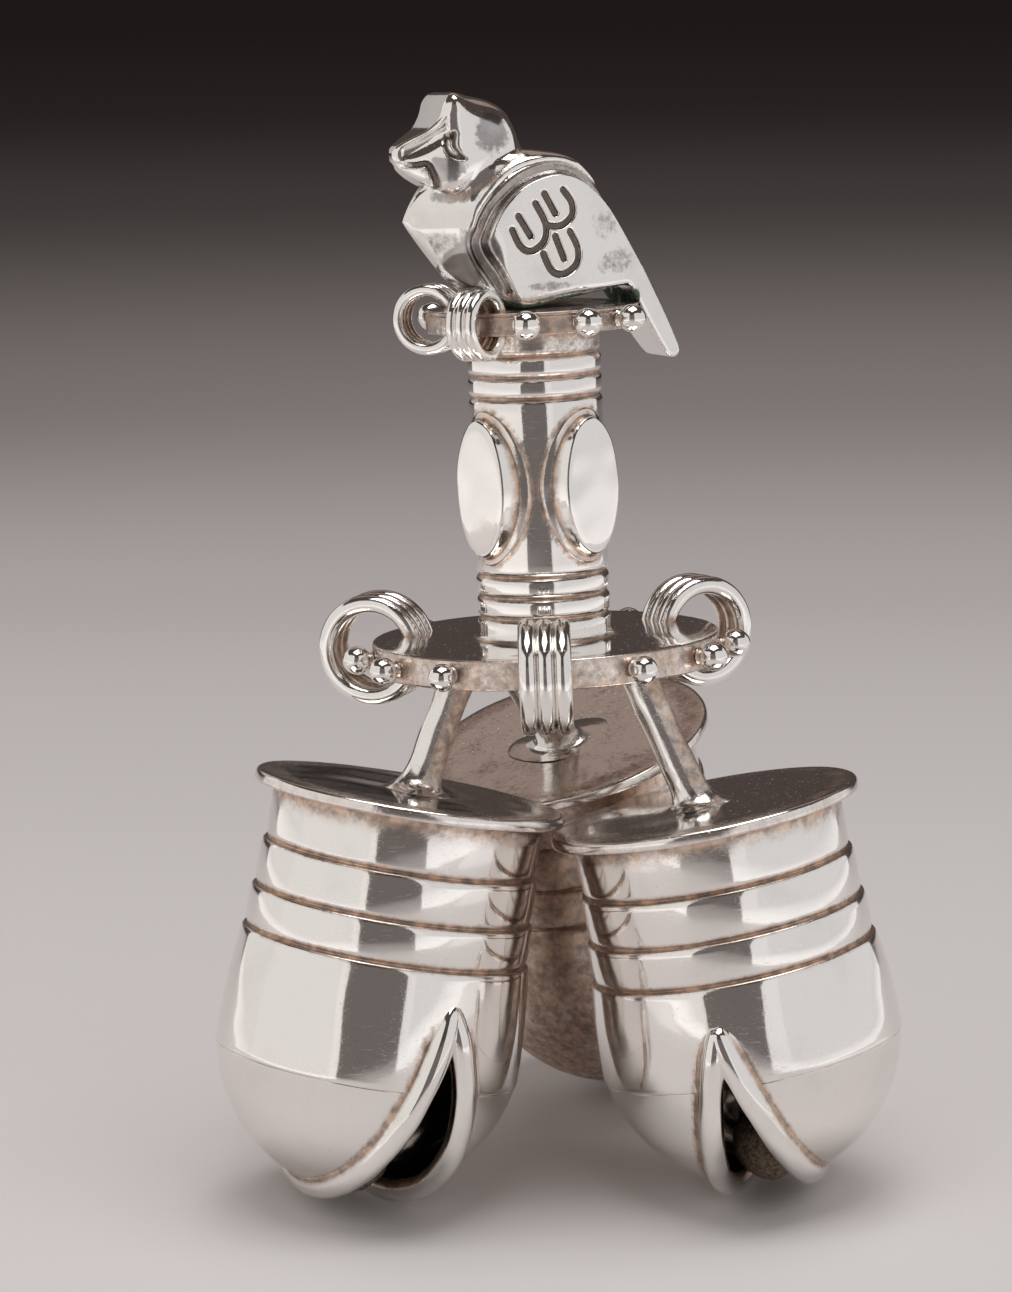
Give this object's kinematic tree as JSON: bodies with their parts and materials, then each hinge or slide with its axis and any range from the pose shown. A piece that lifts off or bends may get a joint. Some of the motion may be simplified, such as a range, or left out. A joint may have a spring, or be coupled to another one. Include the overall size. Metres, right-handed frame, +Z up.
{
  "type": "rattle bell",
  "caption": "Polished silver rattle: a bird on a banded tube handle between two beaded disks, standing on splayed struts and slotted bells with loose pellets.",
  "frame": {"origin": "on the ground, under the middle of the footprint of the standing rattle", "axes": "+Z up; the bird faces towards -X and a little towards -Y, and the gap between the two front bells is on the -Y side"},
  "size_m": [0.0762, 0.0724, 0.1216],
  "materials": {
    "polished_silver": "hand-polished silver with fine scratches and brown tarnish in the joints",
    "pellet_iron": "rough, brown-grey"
  },
  "bodies": {
    "rattle": {"bird_body": "polished_silver", "bird_wing_left": "polished_silver", "bird_wing_right": "polished_silver", "upper_disk": "polished_silver", "upper_loop_left": "polished_silver", "upper_loop_right": "polished_silver", "upper_ball_left_1": "polished_silver", "upper_ball_left_2": "polished_silver", "upper_ball_left_3": "polished_silver", "upper_ball_right_1": "polished_silver", "upper_ball_right_2": "polished_silver", "upper_ball_right_3": "polished_silver", "handle_tube": "polished_silver", "boss_1": "polished_silver", "boss_2": "polished_silver", "boss_3": "polished_silver", "lower_disk": "polished_silver", "lower_loop_1": "polished_silver", "lower_loop_2": "polished_silver", "lower_loop_3": "polished_silver", "lower_ball_1": "polished_silver", "lower_ball_2": "polished_silver", "lower_ball_3": "polished_silver", "lower_ball_4": "polished_silver", "lower_ball_5": "polished_silver", "lower_ball_6": "polished_silver", "lower_ball_7": "polished_silver", "lower_ball_8": "polished_silver", "lower_ball_9": "polished_silver", "strut_rear": "polished_silver", "strut_front_left": "polished_silver", "strut_front_right": "polished_silver", "lid_rear": "polished_silver", "sleeve_rear": "polished_silver", "cup_rear": "polished_silver", "lips_rear": "polished_silver", "lid_front_left": "polished_silver", "sleeve_front_left": "polished_silver", "cup_front_left": "polished_silver", "lips_front_left": "polished_silver", "lid_front_right": "polished_silver", "sleeve_front_right": "polished_silver", "cup_front_right": "polished_silver", "lips_front_right": "polished_silver"},
    "pellet_rear": {"pellet_rear": "pellet_iron"},
    "pellet_front_left": {"pellet_front_left": "pellet_iron"},
    "pellet_front_right": {"pellet_front_right": "pellet_iron"}
  },
  "joints": [
    {"name": "pellet_rear_rattle", "type": "slide", "parent": "rattle", "child": "pellet_rear", "axis": [-0.2112, -0.1772, 0.9613], "range_m": [0, 0.034]},
    {"name": "pellet_front_left_rattle", "type": "slide", "parent": "rattle", "child": "pellet_front_left", "axis": [0.1797, 0.1354, 0.9744], "range_m": [0, 0.0351]},
    {"name": "pellet_front_right_rattle", "type": "slide", "parent": "rattle", "child": "pellet_front_right", "axis": [-0.1869, 0.0911, 0.9781], "range_m": [0, 0.0328]}
  ]
}
